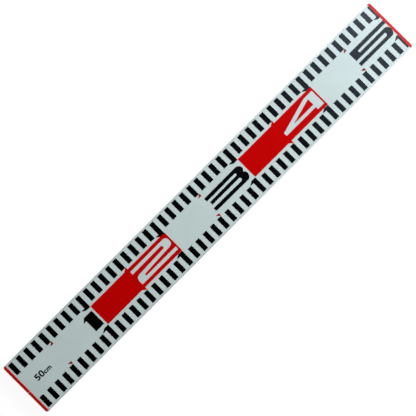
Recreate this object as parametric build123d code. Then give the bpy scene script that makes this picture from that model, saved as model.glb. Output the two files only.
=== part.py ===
from build123d import *
import os

# A half-metre graduated staff, lying on its back.
# X runs along the scale from its zero to its far end, Y across the face and Z up out of it.
# The origin is the middle of the back. Sizes are in millimetres.

# The whole staff
staff_length = 500.0  # over both end caps, so that the scale starts at the foot itself
staff_width = 60.0
staff_thickness = 14.0

# Hollow aluminium section
wall = 1.2
web = 1.2  # between neighbouring chambers
chamber_count = 3
edge_radius = 0.6  # the four long outer edges
chamber_radius = 0.8  # inside corners of the chambers
lip_width = 0.8  # narrow ledges beside the film
lip_rise = 0.1  # how far the lips stand over the film

# Scale film, bonded into the recess of the face
film_thickness = 0.2
film_gap = 0.1  # between the film and each lip

# Moulded end caps
flange_depth = 3.0
flange_corner = 2.7  # rounding of the outer corners, seen from the front
flange_softening = 0.6  # rounding of the outer edges, seen from the side
plug_length = 16.0
plug_wall = 1.5
plug_gap = 0.4  # between a plug and its chamber, taken up by the ribs
plug_lead_in = 0.3
rib_width = 1.2
rib_inset = 4.0  # from the side of a plug to the ribs above and below
rib_setback = 1.5  # bare end of a plug, ahead of its ribs
rib_ramp = 2.5

# Printed scale
ink_thickness = 0.05
centimetre = 10.0
print_margin = 1.3  # bare film outside the bars
bar_length = 12.9
block_gap = 2.85  # between the bars and the red blocks
mark_flag_reach = 4.5  # flag of a decimetre mark, towards zero
pennant_length = 4.2
pennant_gap = 0.3  # from a pennant's point to the bars
least_print = 0.2  # a narrower rest at the end of the film stays bare

# Shares and counts
rounding_limit = 0.45  # most of a wall that one rounded corner may take
centimetres_per_decimetre = 10

# Sizes that follow
recess_depth = film_thickness + lip_rise
recess_width = staff_width - 2 * lip_width
film_width = recess_width - 2 * film_gap
film_top = staff_thickness - lip_rise
film_start = flange_depth  # as a reading of the scale
film_end = staff_length - flange_depth
print_end = film_end - least_print
chamber_width = (staff_width - 2 * wall - (chamber_count - 1) * web) / chamber_count
chamber_height = staff_thickness - recess_depth - 2 * wall
chamber_middle = wall + chamber_height / 2
chamber_pitch = chamber_width + web
plug_width = chamber_width - 2 * plug_gap
plug_height = chamber_height - 2 * plug_gap
rib_length = plug_length - rib_setback
decimetre = centimetres_per_decimetre * centimetre
bar_width = centimetre / 2
bar_outer = film_width / 2 - print_margin
bar_inner = bar_outer - bar_length
block_edge = bar_inner - block_gap
pennant_tip = bar_inner - pennant_gap


def place_of(reading):
    """X of a reading of the scale."""
    return reading - staff_length / 2


def along_staff(section, start, end):
    """Run a section, drawn across and up, along the staff between two readings."""
    return extrude(Plane.YZ.offset(place_of(start)) * section, amount=end - start)


def staff_outline():
    """Outer outline of the section, shared by the bar and its caps."""
    return Pos(0, staff_thickness / 2) * RectangleRounded(staff_width, staff_thickness, edge_radius)


def chamber_centres():
    """Distances of the chambers' middles from the middle of the staff."""
    return [chamber_pitch * (number - (chamber_count - 1) / 2) for number in range(chamber_count)]


def aluminium_profile():
    """Extruded bar: chambers side by side, and a recess that leaves a lip on each side of the film."""
    section = staff_outline()
    section -= Pos(0, staff_thickness - recess_depth / 2) * Rectangle(recess_width, recess_depth)
    for centre in chamber_centres():
        chamber = RectangleRounded(chamber_width, chamber_height, chamber_radius)
        section -= Pos(centre, chamber_middle) * chamber
    return along_staff(section, film_start, film_end)


def scale_film():
    """Strip of film on the floor of the recess, as long as the bar."""
    section = Pos(0, film_top - film_thickness / 2) * Rectangle(film_width, film_thickness)
    return along_staff(section, film_start, film_end)


def cap_flange():
    """Plate over the zero end of the bar, kept where its outlines from three sides agree."""
    depth = 2 * flange_depth
    corner = min(flange_corner, rounding_limit * depth)
    softening = min(flange_softening, rounding_limit * depth)
    seat = place_of(flange_depth)
    from_end = along_staff(staff_outline(), 0, flange_depth)
    front_outline = Pos(seat, 0) * RectangleRounded(depth, staff_width, corner)
    from_front = extrude(front_outline, amount=staff_thickness)
    side_outline = Pos(seat, staff_thickness / 2) * RectangleRounded(depth, staff_thickness, softening)
    from_side = extrude(Plane.XZ * side_outline, amount=staff_width / 2, both=True)
    return from_end & from_front & from_side


def crush_rib():
    """Rib along X that stands on Z = 0, is rooted in the plug's wall below and runs out in a ramp."""
    root = -plug_wall / 2
    ramp_start = rib_length - rib_ramp
    outline = Polyline(
        (0, root), (rib_length, root), (rib_length, 0), (ramp_start, plug_gap), (0, plug_gap), close=True
    )
    return extrude(Plane.XZ * make_face(outline), amount=rib_width / 2, both=True)


def cap_plug():
    """Plug for one chamber, centred on the X axis: hollow, open at its inner end and ribbed all round."""
    body = extrude(Plane.YZ * RectangleRounded(plug_width, plug_height, chamber_radius), amount=plug_length)
    lead_in = min(plug_lead_in, rounding_limit * chamber_radius)
    plug = chamfer(body.faces().sort_by(Axis.X)[-1].edges(), lead_in)
    hollow_width = plug_width - 2 * plug_wall
    hollow_height = plug_height - 2 * plug_wall
    hollow_radius = min(chamber_radius, rounding_limit * hollow_height)
    hollow = Plane.YZ * RectangleRounded(hollow_width, hollow_height, hollow_radius)
    plug -= extrude(hollow, amount=plug_length)
    rib = crush_rib()
    spread = plug_width / 2 - rib_inset
    for turn in (0, 180):
        for offset in (-spread, spread):
            plug += Rot(turn, 0, 0) * Pos(0, offset, plug_height / 2) * rib
    for turn in (90, -90):
        plug += Rot(turn, 0, 0) * Pos(0, 0, plug_width / 2) * rib
    return plug


def zero_end_cap():
    """Moulded cap at the zero of the scale: a flange with one plug for each chamber."""
    cap = cap_flange()
    plug = cap_plug()
    for centre in chamber_centres():
        cap += Pos(place_of(flange_depth), centre, chamber_middle) * plug
    return cap


def far_end_cap():
    """The same moulding at the other end, turned half round the upright axis."""
    return Rot(0, 0, 180) * zero_end_cap()


def film_area(start, end, low, high):
    """Rectangle between two readings and two heights across the film, cut at the ends of the film."""
    start = max(start, film_start)
    end = min(end, film_end)
    middle = Pos(place_of((start + end) / 2), (low + high) / 2)
    return middle * Rectangle(end - start, high - low)


def printed(sketch):
    """Ink on the film, in the shape of a sketch."""
    return extrude(Pos(0, 0, film_top) * sketch, amount=ink_thickness)


def both_edges(sketch):
    """A sketch near one long edge and its mirror image near the other."""
    return [sketch, mirror(sketch, about=Plane.XZ)]


def counts(step):
    """Numbers of the steps along the scale whose bars start on the film."""
    return range(1, int((print_end + bar_width) / step) + 1)


def centimetre_bars():
    """Black bars along both edges, each ending on its centimetre. Decimetres have marks instead."""
    bars = []
    for count in counts(centimetre):
        if count % centimetres_per_decimetre:
            reading = count * centimetre
            bars += both_edges(film_area(reading - bar_width, reading, bar_inner, bar_outer))
    return Compound(children=[printed(bar) for bar in bars])


def decimetre_marks():
    """Black marks like a figure 1: a bar as far as the block's edge, with a flag towards zero."""
    film = film_area(0, staff_length, -film_width / 2, film_width / 2)
    marks = []
    for count in counts(decimetre):
        end = place_of(count * decimetre)
        start = end - bar_width
        outline = Polyline(
            (end, bar_outer), (end, block_edge), (start, block_edge), (start - mark_flag_reach, bar_inner),
            (start, bar_inner), (start, bar_outer), close=True
        )
        marks += both_edges(make_face(outline) & film)
    return Compound(children=[printed(mark) for mark in marks])


def every_second_decimetre(first):
    """Readings where every second decimetre starts, as far as there is film to print on."""
    starts = []
    start = first * decimetre
    while start < print_end:
        starts.append(start)
        start += 2 * decimetre
    return starts


def pennants_after(start):
    """Small triangles in the middle of a decimetre, on the lines of the blocks' edges, pointing outwards."""
    middle = start + decimetre / 2
    if middle > print_end:
        return []
    end = place_of(middle)
    outline = Polyline(
        (end, block_edge), (end, pennant_tip), (end - pennant_length, block_edge), close=True
    )
    return both_edges(make_face(outline))


def red_blocks():
    """Red blocks on the odd decimetres, each in one with the pennants of its middle."""
    blocks = []
    for start in every_second_decimetre(1):
        block = film_area(start, start + decimetre, -block_edge, block_edge)
        for pennant in pennants_after(start):
            block += pennant
        blocks.append(printed(block))
    return Compound(children=blocks)


def half_decimetre_pennants():
    """Red pennants in the decimetres that have no block."""
    pennants = []
    for start in every_second_decimetre(0):
        pennants += pennants_after(start)
    return Compound(children=[printed(pennant) for pennant in pennants])


pieces = [
    aluminium_profile,
    scale_film,
    zero_end_cap,
    far_end_cap,
    centimetre_bars,
    decimetre_marks,
    red_blocks,
    half_decimetre_pennants,
]

os.makedirs("parts", exist_ok=True)
for piece in pieces:
    export_step(piece(), f"parts/{piece.__name__}.step")
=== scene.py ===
import bpy
from mathutils import Matrix, Vector


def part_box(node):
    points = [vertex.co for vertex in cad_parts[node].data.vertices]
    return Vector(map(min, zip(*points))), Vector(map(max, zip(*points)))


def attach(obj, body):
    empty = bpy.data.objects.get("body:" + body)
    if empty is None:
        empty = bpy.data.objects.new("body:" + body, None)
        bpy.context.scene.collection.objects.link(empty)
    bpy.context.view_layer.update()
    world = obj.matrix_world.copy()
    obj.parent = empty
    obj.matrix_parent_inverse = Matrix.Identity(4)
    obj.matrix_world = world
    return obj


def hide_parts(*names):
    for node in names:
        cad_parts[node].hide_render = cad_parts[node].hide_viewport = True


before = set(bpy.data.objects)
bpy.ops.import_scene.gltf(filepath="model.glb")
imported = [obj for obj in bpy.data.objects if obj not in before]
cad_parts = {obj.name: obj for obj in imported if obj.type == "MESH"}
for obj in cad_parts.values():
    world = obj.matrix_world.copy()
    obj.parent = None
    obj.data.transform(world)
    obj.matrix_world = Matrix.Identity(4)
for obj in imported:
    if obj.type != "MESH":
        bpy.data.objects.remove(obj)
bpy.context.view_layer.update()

# A half-metre graduated staff that lies on its back with the printed face up.
# X runs along the scale from its zero, Y across the face and Z up out of it, all in metres.
# The print is drawn in millimetres: the reading of the scale, and the height above the middle line.
MM = 0.001

# Places that the frame gives
zero_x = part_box("zero_end_cap")[0].x
film_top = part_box("scale_film")[1].z
film_end = (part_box("scale_film")[1].x - zero_x) / MM
ink_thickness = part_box("centimetre_bars")[1].z - film_top
bar_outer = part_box("centimetre_bars")[1].y / MM
tip_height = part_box("half_decimetre_pennants")[1].y / MM

# Ruling of the scale
centimetre = 10.0
decimetre = 100.0
scale_end = 500.0
bar_width = centimetre / 2
bar_length = 12.9
block_gap = 2.85  # between the bars and the red blocks
flag_reach = 3.8  # flag of a decimetre mark, towards zero
flag_tip = 0.5  # blunt end of that flag
pennant_length = 4.2
bar_inner = bar_outer - bar_length
block_edge = bar_inner - block_gap

# How the print came out
bar_corner = 0.25  # rounding that the screen leaves on square corners
point_corner = 0.12  # and on points
black_spread = 0.08  # of the black ink past the ruled lines
red_spread = 0.3  # of the small pennants
tip_spread = 0.6  # of the points of all pennants
block_spread = 0.15  # of a red block past its far end
red_shift = (0.36, 0.2)  # the red screen sat a little towards the far end and the numerals' tops
red_share = 0.8  # of the black ink's thickness, so that black covers red where they meet
print_lift = 0.2  # of the whole print above the middle line
corner_steps = 8  # straight steps in a rounded corner
weld_distance = 1e-6  # in metres

# Numerals, each as corners with a reading, a height and a rounding
figure_one = [
    (98.2, -8.65, 0.3), (98.2, 8.75, 0.3), (88.0, 8.75, 0.3), (84.1, 4.75, 0.12), (87.6, 5.1, 0.12),
    (87.6, -8.65, 0.3),
]
figure_two = [
    (150.4, 8.5, 0.4), (198.5, 8.75, 4.0), (198.5, -0.75, 4.0), (160.6, -2.6, 0.3), (159.0, -3.3, 0.4),
    (158.8, -4.9, 0.4), (198.6, -4.85, 0.4), (198.6, -8.25, 0.5), (150.5, -8.35, 0.8), (150.5, 0.55, 4.6),
    (190.0, 2.1, 1.2), (190.0, 5.5, 1.5), (150.4, 5.1, 0.4),
]
figure_three = [
    (250.4, 8.15, 0.3), (298.0, 8.4, 5.2), (298.0, 2.7, 1.6), (296.0, 0.4, 0.2), (298.0, -1.9, 1.6),
    (298.1, -8.95, 4.6), (250.4, -8.6, 0.3), (250.4, -4.75, 0.3), (289.9, -5.1, 1.6), (289.9, -1.55, 1.6),
    (252.1, -1.55, 0.3), (252.1, 1.9, 0.3), (289.4, 2.1, 1.1), (289.4, 4.6, 1.1), (250.4, 4.3, 0.3),
]
figure_four = [
    (387.3, 8.65, 0.4), (398.68, 8.65, 0.4), (398.68, -8.45, 0.4), (390.3, -8.45, 0.4), (390.3, -5.5, 0.3),
    (350.2, -5.25, 0.6), (350.2, -1.7, 0.6),
]
four_counter = [(390.3, 5.4, 0.2), (390.3, -2.1, 0.2), (362.8, -2.1, 0.2)]
figure_five = [
    (450.1, 8.45, 0.3), (497.0, 8.4, 0.1), (497.0, 4.5, 0.1), (458.4, 4.5, 0.6), (458.4, 1.9, 0.6),
    (497.0, 1.85, 4.8), (497.0, -9.0, 4.8), (450.1, -8.75, 0.3), (450.1, -4.95, 0.3), (490.2, -5.3, 2.0),
    (490.2, -1.9, 1.3), (450.1, -1.95, 0.3),
]

# Length marking near the zero end, drawn in the same way
marking_five = [
    (15.5, 3.15, 0.1), (19.1, 3.15, 0.1), (19.1, 1.8, 0.1), (16.8, 1.8, 0.1), (16.75, 1.0, 0.1),
    (19.35, 1.0, 1.7), (19.35, -3.15, 1.7), (15.3, -3.15, 0.6), (15.3, -1.85, 0.2), (17.95, -1.85, 0.7),
    (17.95, -0.35, 0.7), (15.35, -0.35, 0.2),
]
marking_nought = [(20.2, 3.2, 1.9), (24.8, 3.2, 1.9), (24.8, -3.25, 1.9), (20.2, -3.25, 1.9)]
nought_counter = [(21.6, 1.85, 0.85), (23.35, 1.85, 0.85), (23.35, -1.9, 0.85), (21.6, -1.9, 0.85)]
marking_c = [
    (28.0, 0.05, 0.1), (25.2, 0.05, 1.2), (25.2, -3.2, 1.2), (28.0, -3.2, 0.1), (28.0, -2.2, 0.1),
    (26.3, -2.2, 0.5), (26.3, -0.95, 0.5), (28.0, -0.95, 0.1),
]
marking_m = [
    (28.5, 0.05, 0.1), (33.8, 0.05, 1.1), (33.8, -3.2, 0.1), (32.75, -3.2, 0.1), (32.75, -0.95, 0.45),
    (31.7, -0.95, 0.45), (31.7, -3.2, 0.1), (30.6, -3.2, 0.1), (30.6, -0.95, 0.45), (29.6, -0.95, 0.45),
    (29.6, -3.2, 0.1), (28.5, -3.2, 0.1),
]

# Camera, straight over the face, with the far end at the upper right
camera_place = Vector((-0.066, -0.028, 1.2))
camera_aim = Vector((-0.00318, -0.00055, 0.014))
camera_up = Vector((1, 0.9978, 0))
camera_lens = 106.68
camera_sensor = 36.0

# Light. The edge of the key's reflection veils the far end of the face.
wall_levels = ((0.0, 0.65), (0.25, 0.45), (0.6, 0.35), (0.78, 0.002))  # by the height of the direction
backdrop_top = (0.08, 0.2)  # heights of the direction between which a mirrored backdrop ends
key_place = (0.83, 0.0, 0.79)
key_aim = (0.1, 0.0, 0.0)
key_size = (1.6, 0.6)
key_power = 19.0
key_colour = (1.0, 0.985, 0.975)
window_place = (0.85, 0.2, 1.2)
window_aim = (0.25, 0.1, 0.0)
window_size = (0.6, 1.0)
window_power = 2.6
window_colour = (0.66, 0.95, 1.4)
skylight_place = (0.68, 0.23, 1.4)
skylight_aim = (0.25, 0.03, 0.0)
skylight_size = (0.34, 0.24)
skylight_power = 0.8
skylight_colour = (0.95, 1.0, 1.05)
fill_place = (-1.3, -0.4, 0.5)
fill_aim = (-0.2, 0.0, 0.0)
fill_size = (1.4, 0.8)
fill_power = 3.5
fill_colour = (1.0, 1.0, 1.0)
floor_glow = 0.93
floor_fade = (0.35, 1.0)  # distances over which the glow rises to the white of the walls
floor_shade = 0.09  # what the lamps add to the glow, and a shadow takes away
floor_paleness = 0.8
floor_reach = 4.0
floor_drop = 0.0002

# Colours of the surfaces
film_colour = (0.475, 0.561, 0.541, 1.0)
black_colour = (0.0004, 0.0004, 0.0005, 1.0)
red_colour = (0.435, 0.0004, 0.0004, 1.0)
heavy_red_colour = (0.24, 0.0004, 0.0004, 1.0)  # small pennants, which took more ink
cap_colour = (0.46, 0.0025, 0.0012, 1.0)
worn_cap_colour = (0.66, 0.11, 0.06, 1.0)
extrusion_colour = (0.56, 0.585, 0.59, 1.0)
worn_extrusion_colour = (0.72, 0.735, 0.74, 1.0)

# Noise that grain, clouding and wear are made from
patch_detail = 4.0  # finer layers in patches
line_detail = 3.0  # in smears and die lines
grain_detail = 2.0  # in grain and scuffs
noise_span = (0.3, 0.7)  # where most of one noise lies
added_span = (0.7, 1.3)  # where most of two added noises lies
smear_ratio = 24.0  # size of a smear by that of a grain
edge_samples = 6  # rays that feel for an edge
edge_span = (0.995, 0.85)  # agreement of the flat and the rounded normal, from unworn to worn
worn_span = (0.42, 0.62)  # noise from unworn to worn
scuff_turns = (0.12, -0.35)  # angles between the staff and the two directions of scuffs
scuff_rise = 0.06  # noise between a bare surface and a full scuff

# Finishes. Shares are of a mark's paler colour, dulling is added roughness, relief is in metres.
print_roughness = 0.19
print_dulling = 0.12
print_relief = 0.00002
nick_share = 0.35
cap_wear_share = 0.5
cap_dulling = 0.15
cap_relief = 0.00003
cap_specular = 0.2
scratch_share = 0.5
fine_die_lines = (0.2, 0.0006)  # length and width
broad_die_lines = (0.8, 0.0035)
die_line_shades = (0.86, 1.14)
die_line_dulling = (-0.06, 0.06)
grain_share = 0.3  # of the grain in the extrusion's relief, beside the die lines
extrusion_relief = 0.00004
extrusion_metallic = 0.5

# Pale streak on the zero cap, drawn in the paler cap colour
pale_streak_start = (zero_x + 0.5 * MM, -3.7 * MM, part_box("zero_end_cap")[1].z)
pale_streak_end = (zero_x + 2.8 * MM, -4.6 * MM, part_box("zero_end_cap")[1].z)
pale_streak_width = 0.8 * MM


def add_node(tree, kind, inputs=None, **options):
    """Add a node to a tree, set its options, and set or link its inputs by name or number."""
    node = tree.nodes.new(kind)
    for option, value in options.items():
        setattr(node, option, value)
    for name, value in (inputs or {}).items():
        if isinstance(value, bpy.types.NodeSocket):
            tree.links.new(value, node.inputs[name])
        else:
            node.inputs[name].default_value = value
    return node


def result_of(tree, kind, inputs=None, **options):
    """Add a node and take the first thing that it gives."""
    return add_node(tree, kind, inputs, **options).outputs[0]


def start_group(name, kind, inputs, outputs):
    """New node group with named sockets, as its tree, what it is given and what it gives back."""
    tree = bpy.data.node_groups.new(name, kind)
    for label, socket_type in inputs.items():
        tree.interface.new_socket(label, in_out="INPUT", socket_type="NodeSocket" + socket_type)
    for label, socket_type in outputs.items():
        tree.interface.new_socket(label, in_out="OUTPUT", socket_type="NodeSocket" + socket_type)
    given = tree.nodes.new("NodeGroupInput").outputs
    made = tree.nodes.new("NodeGroupOutput").inputs
    return tree, given, made


def link_object(item):
    """Put an object in the scene."""
    bpy.context.scene.collection.objects.link(item)
    return item


def math_node(tree, operation, first, second):
    """Result of one sum on two values."""
    return result_of(tree, "ShaderNodeMath", {0: first, 1: second}, operation=operation)


def vector_math(tree, operation, first, second, output="Vector"):
    """Result of one sum on two vectors, as a vector or, with the output Value, as a number."""
    node = add_node(tree, "ShaderNodeVectorMath", {0: first, 1: second}, operation=operation)
    return node.outputs[output]


def vector_of(tree, **axes):
    """Vector from its X, Y and Z."""
    return result_of(tree, "ShaderNodeCombineXYZ", axes)


def remap(tree, value, low, high, new_low=0.0, new_high=1.0):
    """A value moved from one range to another, held at its ends."""
    inputs = {"Value": value, "From Min": low, "From Max": high, "To Min": new_low, "To Max": new_high}
    return result_of(tree, "ShaderNodeMapRange", inputs)


def grey(level):
    """Neutral colour."""
    return (level, level, level, 1.0)


def shaded(tree, colour, level):
    """A colour made lighter or darker."""
    return result_of(tree, "ShaderNodeHueSaturation", {"Color": colour, "Value": level})


def mix_colours(tree, share, first, second):
    """Colour between two others."""
    return add_node(tree, "ShaderNodeMix", {0: share, 6: first, 7: second}, data_type="RGBA").outputs[2]


def object_place(tree):
    """Place on the piece."""
    return add_node(tree, "ShaderNodeTexCoord").outputs["Object"]


def noise(tree, vector, size, detail):
    """Noise from 0 to 1 with features of about the given size."""
    scale = math_node(tree, "DIVIDE", 1.0, size)
    return result_of(tree, "ShaderNodeTexNoise", {"Vector": vector, "Scale": scale, "Detail": detail})


def bump(tree, height, distance):
    """Normal of a surface with the given relief."""
    return result_of(tree, "ShaderNodeBump", {"Height": height, "Distance": distance})


def cloudy_tone_group():
    """Soft light and dark patches in a colour."""
    inputs = {"Colour": "Color", "Patch Size": "Float", "Depth": "Float"}
    tree, given, made = start_group("cloudy_tone", "ShaderNodeTree", inputs, {"Colour": "Color"})
    patches = noise(tree, object_place(tree), given["Patch Size"], patch_detail)
    darkest = math_node(tree, "SUBTRACT", 1.0, given["Depth"])
    lightest = math_node(tree, "ADD", 1.0, given["Depth"])
    level = remap(tree, patches, *noise_span, darkest, lightest)
    tree.links.new(shaded(tree, given["Colour"], level), made["Colour"])
    return tree


def satin_grain_group():
    """Fine grain of a satin surface with broader smears, as a roughness and as a height."""
    inputs = {"Grain Size": "Float", "Roughness": "Float", "Spread": "Float"}
    outputs = {"Roughness": "Float", "Height": "Float"}
    tree, given, made = start_group("satin_grain", "ShaderNodeTree", inputs, outputs)
    place = object_place(tree)
    fine = noise(tree, place, given["Grain Size"], grain_detail)
    smear_size = math_node(tree, "MULTIPLY", given["Grain Size"], smear_ratio)
    both = math_node(tree, "ADD", fine, noise(tree, place, smear_size, line_detail))
    smoothest = math_node(tree, "SUBTRACT", given["Roughness"], given["Spread"])
    roughest = math_node(tree, "ADD", given["Roughness"], given["Spread"])
    tree.links.new(remap(tree, both, *added_span, smoothest, roughest), made["Roughness"])
    tree.links.new(fine, made["Height"])
    return tree


def worn_edges_group():
    """Mask of the outer edges, broken into patches, where handling has rubbed them."""
    inputs = {"Edge Width": "Float", "Patch Size": "Float"}
    tree, given, made = start_group("worn_edges", "ShaderNodeTree", inputs, {"Mask": "Float"})
    rounded = result_of(tree, "ShaderNodeBevel", {"Radius": given["Edge Width"]}, samples=edge_samples)
    flat = add_node(tree, "ShaderNodeNewGeometry").outputs["True Normal"]
    edge = remap(tree, vector_math(tree, "DOT_PRODUCT", rounded, flat, "Value"), *edge_span)
    patches = remap(tree, noise(tree, object_place(tree), given["Patch Size"], patch_detail), *worn_span)
    tree.links.new(math_node(tree, "MULTIPLY", edge, patches), made["Mask"])
    return tree


def scuffs_group():
    """Mask of sparse fine scratches that run nearly along the staff, in two directions."""
    inputs = {"Length": "Float", "Width": "Float", "Bareness": "Float"}
    tree, given, made = start_group("scuffs", "ShaderNodeTree", inputs, {"Mask": "Float"})
    along = math_node(tree, "DIVIDE", 1.0, given["Length"])
    across = math_node(tree, "DIVIDE", 1.0, given["Width"])
    stretch = vector_of(tree, X=along, Y=across, Z=across)
    full = math_node(tree, "ADD", given["Bareness"], scuff_rise)
    place = object_place(tree)
    masks = []
    for angle in scuff_turns:
        turn = {"Vector": place, "Angle": angle}
        turned = result_of(tree, "ShaderNodeVectorRotate", turn, rotation_type="Z_AXIS")
        streaks = noise(tree, vector_math(tree, "MULTIPLY", turned, stretch), 1.0, grain_detail)
        masks.append(remap(tree, streaks, given["Bareness"], full))
    tree.links.new(math_node(tree, "MAXIMUM", *masks), made["Mask"])
    return tree


def effect_outputs(tree, effect, **inputs):
    """Place a shared effect in a material with its own values, named with _ for a space."""
    values = {label.replace("_", " "): value for label, value in inputs.items()}
    return add_node(tree, "ShaderNodeGroup", values, node_tree=effect).outputs


def start_material(name):
    """New material, as itself, its tree and its main shader."""
    material = bpy.data.materials.new(name)
    material.use_nodes = True
    return material, material.node_tree, material.node_tree.nodes["Principled BSDF"]


def printed_finish(name, colour, tone_depth, specular):
    """Finish of the film or of an ink on it: cloudy tone, satin grain and dull fine scuffs."""
    material, tree, shader = start_material(name)
    tone = effect_outputs(tree, cloudy_tone, Colour=colour, Patch_Size=0.03, Depth=tone_depth)
    grain = effect_outputs(tree, satin_grain, Grain_Size=0.0009, Roughness=print_roughness, Spread=0.03)
    scuff = effect_outputs(tree, scuffs, Length=0.04, Width=0.0006, Bareness=0.72)
    dulled = math_node(tree, "MULTIPLY", scuff["Mask"], print_dulling)
    tree.links.new(tone["Colour"], shader.inputs["Base Color"])
    tree.links.new(math_node(tree, "ADD", grain["Roughness"], dulled), shader.inputs["Roughness"])
    tree.links.new(bump(tree, grain["Height"], print_relief), shader.inputs["Normal"])
    shader.inputs["Specular IOR Level"].default_value = specular
    return material


def pale_streak_mask(tree, start, end, width):
    """Mask of one straight pale streak between two places."""
    start, end = Vector(start), Vector(end)
    run = end - start
    from_start = vector_math(tree, "SUBTRACT", object_place(tree), start)
    along = vector_math(tree, "DOT_PRODUCT", from_start, run / run.length_squared, "Value")
    reach = {0: run, "Scale": remap(tree, along, 0.0, 1.0)}
    nearest = result_of(tree, "ShaderNodeVectorMath", reach, operation="SCALE")
    away = vector_math(tree, "DISTANCE", from_start, nearest, "Value")
    return remap(tree, away, 0.0, width, 1.0, 0.0)


def cap_finish():
    """Red moulded plastic, half gloss, paler where it is rubbed at its edges or nicked, and along one pale
    streak.
    """
    material, tree, shader = start_material("moulded_red_cap")
    tone = effect_outputs(tree, cloudy_tone, Colour=cap_colour, Patch_Size=0.012, Depth=0.06)
    rubbed = effect_outputs(tree, worn_edges, Edge_Width=0.0006, Patch_Size=0.006)
    nicks = effect_outputs(tree, scuffs, Length=0.004, Width=0.0007, Bareness=0.68)
    grain = effect_outputs(tree, satin_grain, Grain_Size=0.0005, Roughness=0.34, Spread=0.05)
    # one pale streak across the zero cap's face, drawn in the paler cap colour
    pale_streak = pale_streak_mask(tree, pale_streak_start, pale_streak_end, pale_streak_width)
    marked = math_node(tree, "MAXIMUM", pale_streak, math_node(tree, "MULTIPLY", nicks["Mask"], nick_share))
    worn = math_node(tree, "MULTIPLY", rubbed["Mask"], cap_wear_share)
    share = math_node(tree, "MAXIMUM", marked, worn)
    dulled = math_node(tree, "MULTIPLY", share, cap_dulling)
    tree.links.new(mix_colours(tree, share, tone["Colour"], worn_cap_colour), shader.inputs["Base Color"])
    tree.links.new(math_node(tree, "ADD", grain["Roughness"], dulled), shader.inputs["Roughness"])
    tree.links.new(bump(tree, grain["Height"], cap_relief), shader.inputs["Normal"])
    shader.inputs["Specular IOR Level"].default_value = cap_specular
    return material


def die_lines(tree, length, width):
    """Noise drawn out along the bar."""
    scale = (1 / length, 1 / width, 1 / width)
    drawn = result_of(tree, "ShaderNodeMapping", {"Vector": object_place(tree), "Scale": scale})
    return noise(tree, drawn, 1.0, line_detail)


def extrusion_finish():
    """Satin anodised aluminium with lines from the die, long scratches and rubbed edges."""
    material, tree, shader = start_material("anodised_extrusion")
    tone = effect_outputs(tree, cloudy_tone, Colour=extrusion_colour, Patch_Size=0.04, Depth=0.06)
    rubbed = effect_outputs(tree, worn_edges, Edge_Width=0.0004, Patch_Size=0.015)
    scratch = effect_outputs(tree, scuffs, Length=0.05, Width=0.0006, Bareness=0.7)
    grain = effect_outputs(tree, satin_grain, Grain_Size=0.0006, Roughness=0.4, Spread=0.05)
    fine_lines = die_lines(tree, *fine_die_lines)
    lines = math_node(tree, "ADD", fine_lines, die_lines(tree, *broad_die_lines))
    lined = shaded(tree, tone["Colour"], remap(tree, lines, *added_span, *die_line_shades))
    scratched = math_node(tree, "MULTIPLY", scratch["Mask"], scratch_share)
    share = math_node(tree, "MAXIMUM", rubbed["Mask"], scratched)
    grain_height = math_node(tree, "MULTIPLY", grain["Height"], grain_share)
    height = math_node(tree, "ADD", fine_lines, grain_height)
    dulled = remap(tree, lines, *added_span, *die_line_dulling)
    tree.links.new(mix_colours(tree, share, lined, worn_extrusion_colour), shader.inputs["Base Color"])
    tree.links.new(math_node(tree, "ADD", grain["Roughness"], dulled), shader.inputs["Roughness"])
    tree.links.new(bump(tree, height, extrusion_relief), shader.inputs["Normal"])
    shader.inputs["Metallic"].default_value = extrusion_metallic
    return material


def join_geometry(tree, first, second):
    """Two shapes as one."""
    node = add_node(tree, "GeometryNodeJoinGeometry", {"Geometry": first})
    tree.links.new(second, node.inputs["Geometry"])
    return node.outputs[0]


press_inputs = {"Lift": "Float", "Film Top": "Float", "Ink Thickness": "Float", "Ink": "Material"}


def ink_press():
    """Outlines with a rounding at each corner, filled and raised to a layer of ink on the film."""
    inputs = {"Outlines": "Geometry", **press_inputs}
    tree, given, made = start_group("ink_press", "GeometryNodeTree", inputs, {"Print": "Geometry"})
    corner = result_of(tree, "GeometryNodeInputRadius")
    rounded = result_of(tree, "GeometryNodeFilletCurve", {
        "Curve": given["Outlines"], "Count": corner_steps, "Radius": corner, "Limit Radius": True,
    }, mode="POLY")
    filled = result_of(tree, "GeometryNodeFillCurve", {"Curve": rounded}, mode="TRIANGLES")
    seat = vector_of(tree, Y=given["Lift"], Z=given["Film Top"])
    under = result_of(tree, "GeometryNodeTransform", {"Geometry": filled, "Translation": seat})
    up = vector_of(tree, Z=1.0)
    raised = result_of(tree, "GeometryNodeExtrudeMesh", {
        "Mesh": under, "Offset": up, "Offset Scale": given["Ink Thickness"], "Individual": False,
    }, mode="FACES")
    below = result_of(tree, "GeometryNodeFlipFaces", {"Mesh": under})
    layer = {"Geometry": join_geometry(tree, raised, below), "Distance": weld_distance}
    welded = result_of(tree, "GeometryNodeMergeByDistance", layer)
    inked = result_of(tree, "GeometryNodeSetMaterial", {"Geometry": welded, "Material": given["Ink"]})
    tree.links.new(inked, made["Print"])
    return tree


def use_press(tree, outlines, given):
    """Place the press in a tree, with the tree's own heights and ink."""
    inputs = {"Outlines": outlines, **{label: given[label] for label in press_inputs}}
    return add_node(tree, "GeometryNodeGroup", inputs, node_tree=press).outputs["Print"]


def drawn_print_tree():
    """Print of the outlines in a drawing."""
    inputs = {"Drawing": "Geometry", **press_inputs}
    tree, given, made = start_group("drawn_print", "GeometryNodeTree", inputs, {"Print": "Geometry"})
    tree.links.new(use_press(tree, given["Drawing"], given), made["Print"])
    return tree


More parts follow.
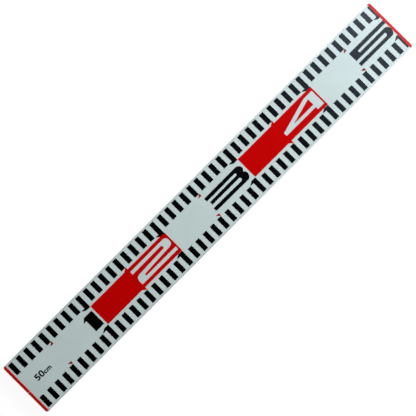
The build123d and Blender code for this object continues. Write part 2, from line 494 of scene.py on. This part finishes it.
def bar_rows_tree():
    """Two rows of bars at an even pitch, without the last bar of each group."""
    inputs = {
        "First Bar": "Float", "Pitch": "Float", "Bar Count": "Int", "Group": "Int", "Bar Width": "Float",
        "Bar Length": "Float", "Row Distance": "Float", "Corner": "Float", **press_inputs,
    }
    tree, given, made = start_group("bar_rows", "GeometryNodeTree", inputs, {"Print": "Geometry"})
    start = vector_of(tree, X=given["First Bar"], Y=given["Row Distance"])
    step = vector_of(tree, X=given["Pitch"])
    row = result_of(tree, "GeometryNodeMeshLine", {
        "Count": given["Bar Count"], "Start Location": start, "Offset": step,
    }, mode="OFFSET")
    index = result_of(tree, "GeometryNodeInputIndex")
    number = result_of(tree, "FunctionNodeIntegerMath", {0: index, 1: 1}, operation="ADD")
    rest = result_of(tree, "FunctionNodeIntegerMath", {0: number, 1: given["Group"]}, operation="MODULO")
    last = result_of(tree, "FunctionNodeCompare", {2: rest, 3: 0}, data_type="INT", operation="EQUAL")
    upper = result_of(tree, "GeometryNodeDeleteGeometry", {"Geometry": row, "Selection": last})
    lower = result_of(tree, "GeometryNodeTransform", {"Geometry": upper, "Scale": (1.0, -1.0, 1.0)})
    rows = join_geometry(tree, upper, lower)
    outline = result_of(tree, "GeometryNodeCurvePrimitiveQuadrilateral", {
        "Width": given["Bar Width"], "Height": given["Bar Length"],
    })
    corner = {"Curve": outline, "Radius": given["Corner"]}
    cornered = result_of(tree, "GeometryNodeSetCurveRadius", corner)
    bars = result_of(tree, "GeometryNodeInstanceOnPoints", {"Points": rows, "Instance": cornered})
    real = result_of(tree, "GeometryNodeRealizeInstances", {"Geometry": bars})
    tree.links.new(use_press(tree, real, given), made["Print"])
    return tree


def made_by(tree, name, values, drawing=None):
    """Run a tree, on a drawing if it has one, and keep the result as a plain mesh piece."""
    source = drawing or bpy.data.meshes.new(name + "_maker")
    host = link_object(bpy.data.objects.new(name + "_maker", source))
    modifier = host.modifiers.new("maker", "NODES")
    modifier.node_group = tree
    for socket in tree.interface.items_tree:
        if socket.in_out == "INPUT" and socket.name in values:
            modifier[socket.identifier] = values[socket.name]
    graph = bpy.context.evaluated_depsgraph_get()
    mesh = bpy.data.meshes.new_from_object(host.evaluated_get(graph))
    mesh.name = name
    bpy.data.objects.remove(host)
    return link_object(bpy.data.objects.new(name, mesh))


def ink_values(ink):
    """Heights and ink of a print."""
    thickness = ink_thickness * (1.0 if ink == black else red_share)
    return {"Lift": print_lift * MM, "Film Top": film_top, "Ink Thickness": thickness, "Ink": ink}


def drawing_of(name, outlines):
    """Curve of closed outlines, whose points carry the rounding of their corners."""
    drawing = bpy.data.curves.new(name + "_drawing", "CURVE")
    drawing.dimensions = "3D"
    for outline in outlines:
        spline = drawing.splines.new("POLY")
        spline.points.add(len(outline) - 1)
        spline.use_cyclic_u = True
        for point, (reading, height, corner) in zip(spline.points, outline):
            point.co = (zero_x + reading * MM, height * MM, 0.0, 1.0)
            point.radius = corner * MM
    return drawing


def mirrored(outline):
    """The same outline near the other long edge."""
    return [(reading, -height, corner) for reading, height, corner in outline]


def on_both_edges(outlines):
    """Outlines near one long edge and, after them, their mirror images."""
    return outlines + [mirrored(outline) for outline in outlines]


def shifted(outline):
    """An outline where the red screen prints it."""
    along, across = red_shift
    return [(reading + along, height + across, corner) for reading, height, corner in outline]


def decimetre_mark(reading):
    """Bar as far as the block's edge, with a flag towards zero, cut at the end of the film."""
    start = reading - bar_width - black_spread
    end = min(reading + black_spread, film_end)
    tip = start - flag_reach
    return [
        (end, bar_outer, bar_corner), (end, block_edge, bar_corner),
        (start, block_edge, point_corner), (tip, bar_inner - flag_tip, point_corner),
        (tip, bar_inner, point_corner), (start, bar_inner, point_corner),
        (start, bar_outer, bar_corner),
    ]


def pennant(reading, base):
    """Small triangle on a line along the staff, from zero towards the reading."""
    return [
        (reading - pennant_length, base, point_corner), (reading, tip_height + tip_spread, point_corner),
        (reading, base, point_corner),
    ]


def red_block(start):
    """Block over one decimetre, in one with the pennants of its middle."""
    end = start + decimetre + block_spread
    flag = pennant(start + decimetre / 2, block_edge)
    upper = [(start, block_edge, bar_corner), *flag, (end, block_edge, bar_corner)]
    return upper + mirrored(reversed(upper))


def finish_print(piece):
    """Print stays on the bar."""
    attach(piece, "root")
    return piece


def printed_piece(name, ink, outlines):
    """Piece of print made from outlines."""
    return finish_print(made_by(drawn_print, name, ink_values(ink), drawing_of(name, outlines)))


def soft_lamp(name, place, aim, size, power, colour):
    """Rectangular soft lamp that points at a place."""
    data = bpy.data.lights.new(name, "AREA")
    data.shape = "RECTANGLE"
    data.size, data.size_y = size
    data.energy = power
    data.color = colour
    lamp = link_object(bpy.data.objects.new(name, data))
    lamp.location = place
    lamp.rotation_euler = (Vector(aim) - Vector(place)).to_track_quat("-Z", "Y").to_euler()


def studio_world():
    """White where it is seen, soft light from the sides and a dark ceiling.

    A mirrored ray meets a white backdrop only low down, because a white ceiling would veil the print."""
    world = bpy.data.worlds.new("studio")
    bpy.context.scene.world = world
    world.use_nodes = True
    tree = world.node_tree
    path = add_node(tree, "ShaderNodeLightPath").outputs
    direction = add_node(tree, "ShaderNodeTexCoord").outputs["Generated"]
    height = add_node(tree, "ShaderNodeSeparateXYZ", {0: direction}).outputs["Z"]
    walls = add_node(tree, "ShaderNodeValToRGB", {"Fac": height})
    steps = walls.color_ramp.elements
    while len(steps) < len(wall_levels):
        steps.new(1.0)
    for step, (position, level) in zip(steps, wall_levels):
        step.position = position
        step.color = grey(level)
    backdrop = remap(tree, height, *backdrop_top, 1.0, 0.0)
    mirrored_rays = math_node(tree, "MULTIPLY", path["Is Glossy Ray"], backdrop)
    straight_rays = math_node(tree, "MAXIMUM", path["Is Camera Ray"], path["Is Transmission Ray"])
    seen = math_node(tree, "MAXIMUM", straight_rays, mirrored_rays)
    shown = mix_colours(tree, seen, walls.outputs["Color"], grey(1.0))
    tree.links.new(shown, tree.nodes["Background"].inputs["Color"])


def floor_finish():
    """Pale floor that is seen white, with the shadow kept."""
    material, tree, shader = start_material("studio_floor")
    tree.nodes.remove(shader)
    path = add_node(tree, "ShaderNodeLightPath").outputs
    mirrored_rays = math_node(tree, "MAXIMUM", path["Is Glossy Ray"], path["Is Transmission Ray"])
    seen = math_node(tree, "MAXIMUM", path["Is Camera Ray"], mirrored_rays)
    place = object_place(tree)
    away = add_node(tree, "ShaderNodeVectorMath", {0: place}, operation="LENGTH").outputs["Value"]
    strength = remap(tree, away, *floor_fade, floor_glow, 1.0)
    glow = result_of(tree, "ShaderNodeEmission", {"Strength": strength})
    lit = result_of(tree, "ShaderNodeBsdfDiffuse", {"Color": grey(floor_shade)})
    white = result_of(tree, "ShaderNodeAddShader", {0: glow, 1: lit})
    pale = result_of(tree, "ShaderNodeBsdfDiffuse", {"Color": grey(floor_paleness)})
    mixed = result_of(tree, "ShaderNodeMixShader", {0: seen, 1: pale, 2: white})
    tree.links.new(mixed, tree.nodes["Material Output"].inputs["Surface"])
    return material


def studio_floor():
    """Large plain floor just under the staff."""
    mesh = bpy.data.meshes.new("studio_floor")
    ends = (-floor_reach, floor_reach)
    corners = [(x, y, -floor_drop) for x in ends for y in ends]
    mesh.from_pydata(corners, [], [(0, 2, 3, 1)])
    mesh.materials.append(floor_finish())
    link_object(bpy.data.objects.new("studio_floor", mesh))


def place_camera():
    """Camera over the face, turned so that the staff lies on the diagonal of the picture."""
    data = bpy.data.cameras.new("camera")
    data.lens = camera_lens
    data.sensor_width = camera_sensor
    camera = link_object(bpy.data.objects.new("camera", data))
    back = (camera_place - camera_aim).normalized()
    right = camera_up.cross(back).normalized()
    turn = Matrix((right, back.cross(right), back)).transposed()
    camera.matrix_world = Matrix.Translation(camera_place) @ turn.to_4x4()
    bpy.context.scene.camera = camera


# Materials
cloudy_tone = cloudy_tone_group()
satin_grain = satin_grain_group()
worn_edges = worn_edges_group()
scuffs = scuffs_group()
film = printed_finish("satin_scale_film", film_colour, tone_depth=0.03, specular=0.4)
black = printed_finish("black_screen_ink", black_colour, tone_depth=0.15, specular=0.35)
red = printed_finish("red_screen_ink", red_colour, tone_depth=0.03, specular=0.08)
heavy_red = printed_finish("heavy_red_screen_ink", heavy_red_colour, tone_depth=0.03, specular=0.08)
cap = cap_finish()
aluminium = extrusion_finish()

node_finishes = {
    "aluminium_profile": aluminium, "scale_film": film, "zero_end_cap": cap, "far_end_cap": cap,
}
for node, material in node_finishes.items():
    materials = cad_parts[node].data.materials
    materials.clear()
    materials.append(material)

# Print
press = ink_press()
drawn_print = drawn_print_tree()
bar_rows = bar_rows_tree()

bars = finish_print(made_by(bar_rows, "ruled_bars", {
    "First Bar": zero_x + (centimetre - bar_width / 2) * MM, "Pitch": centimetre * MM,
    "Bar Count": int(scale_end / centimetre) - 1, "Group": int(decimetre / centimetre),
    "Bar Width": (bar_width + 2 * black_spread) * MM, "Bar Length": bar_length * MM,
    "Row Distance": (bar_inner + bar_length / 2) * MM, "Corner": bar_corner * MM, **ink_values(black),
}))
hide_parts("centimetre_bars")

decimetres = [decimetre * count for count in range(1, int(scale_end / decimetre) + 1)]
marks = on_both_edges([decimetre_mark(reading) for reading in decimetres])
ruled_marks = printed_piece("ruled_decimetres", black, marks)
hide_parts("decimetre_marks")

odd_decimetres = decimetres[::2]  # blocks start here, and small pennants half a decimetre before
pennant_readings = [reading - decimetre / 2 + red_spread for reading in odd_decimetres]
flags = on_both_edges([pennant(reading, block_edge - red_spread) for reading in pennant_readings])
red_pennants = printed_piece("red_pennants", heavy_red, [shifted(flag) for flag in flags])
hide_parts("half_decimetre_pennants")

blocks = [shifted(red_block(reading)) for reading in odd_decimetres if reading < scale_end]
red_ground = printed_piece("red_ground", red, blocks + [figure_two, figure_four, four_counter])
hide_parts("red_blocks")

printed_piece("black_numerals", black, [figure_one, figure_three, figure_five])
marking = [marking_five, marking_nought, nought_counter, marking_c, marking_m]
printed_piece("length_marking", black, marking)

# Studio
studio_world()
studio_floor()
soft_lamp("key", key_place, key_aim, key_size, key_power, key_colour)
soft_lamp("window", window_place, window_aim, window_size, window_power, window_colour)
soft_lamp("skylight", skylight_place, skylight_aim, skylight_size, skylight_power, skylight_colour)
soft_lamp("fill", fill_place, fill_aim, fill_size, fill_power, fill_colour)
place_camera()
bpy.context.scene.view_settings.view_transform = "Standard"
